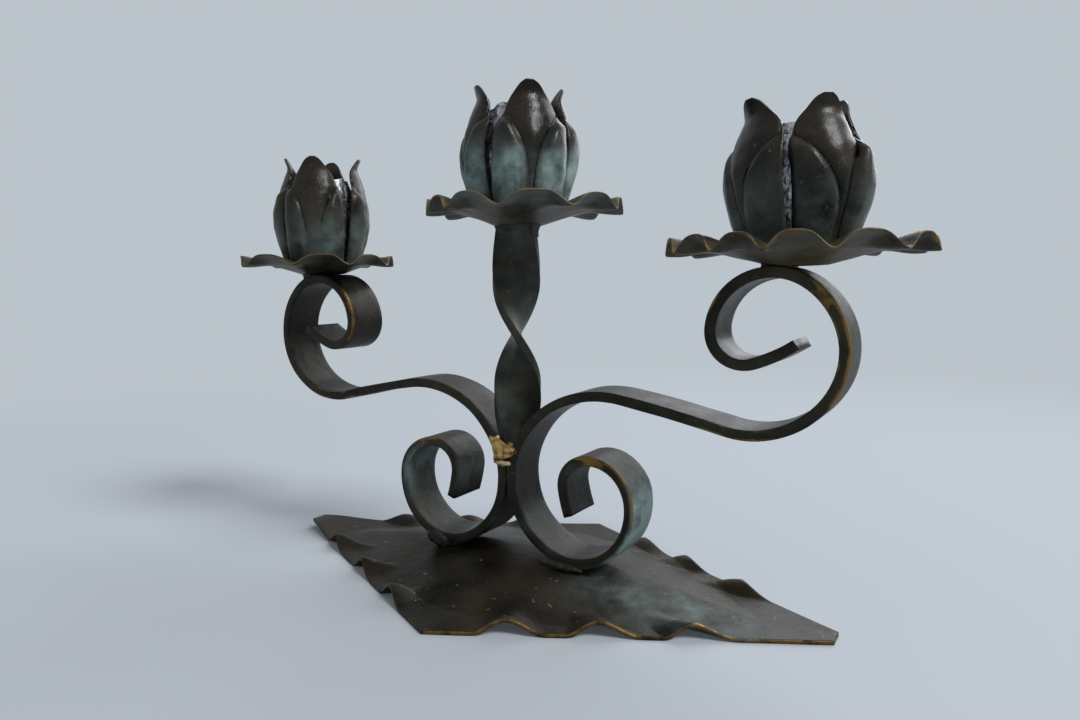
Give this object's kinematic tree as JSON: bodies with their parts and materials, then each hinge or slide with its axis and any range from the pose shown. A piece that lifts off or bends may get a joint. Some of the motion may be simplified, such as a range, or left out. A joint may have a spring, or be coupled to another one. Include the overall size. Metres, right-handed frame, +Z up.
{
  "type": "candelabra",
  "caption": "Table candelabra: scrolled flat-bar arms and a twisted centre bar on a leaf-shaped foot plate carry ruffled drip pans with petal cups for candles.",
  "frame": {"origin": "on the table, below the middle of the outer box of the whole object", "axes": "+X along the arms to the right-hand flower, +Z up, -Y to the side that shows the brazed lump on the joint of the bars"},
  "size_m": [0.3134, 0.142, 0.2052],
  "materials": {
    "dark_patina": "hammered brass, dark brown-black patina, satin, worn to brass along the edges",
    "green_patina": "hammered brass, dark patina with blue-green verdigris",
    "bare_brass": "bare brazed brass, rough and lumpy",
    "crumpled_foil": "crumpled bright foil"
  },
  "bodies": {
    "root": {"leaf_foot_plate": "dark_patina", "scroll_bar_left": "dark_patina", "scroll_bar_right": "dark_patina", "twisted_centre_bar": "dark_patina", "drip_pan_left": "dark_patina", "drip_pan_center": "dark_patina", "drip_pan_right": "dark_patina", "petal_left_1": "green_patina", "petal_left_2": "green_patina", "petal_left_3": "green_patina", "petal_left_4": "green_patina", "petal_center_1": "green_patina", "petal_center_2": "green_patina", "petal_center_3": "green_patina", "petal_center_4": "green_patina", "petal_right_1": "green_patina", "petal_right_2": "green_patina", "petal_right_3": "green_patina", "petal_right_4": "green_patina", "foil_liner_left": "crumpled_foil", "foil_liner_center": "crumpled_foil", "foil_liner_right": "crumpled_foil", "braze_joint": "bare_brass", "weld_foot_left": "dark_patina", "weld_foot_right": "dark_patina", "weld_pan_left": "dark_patina", "weld_pan_right": "dark_patina", "braze_pan_center": "dark_patina"}
  },
  "joints": []
}
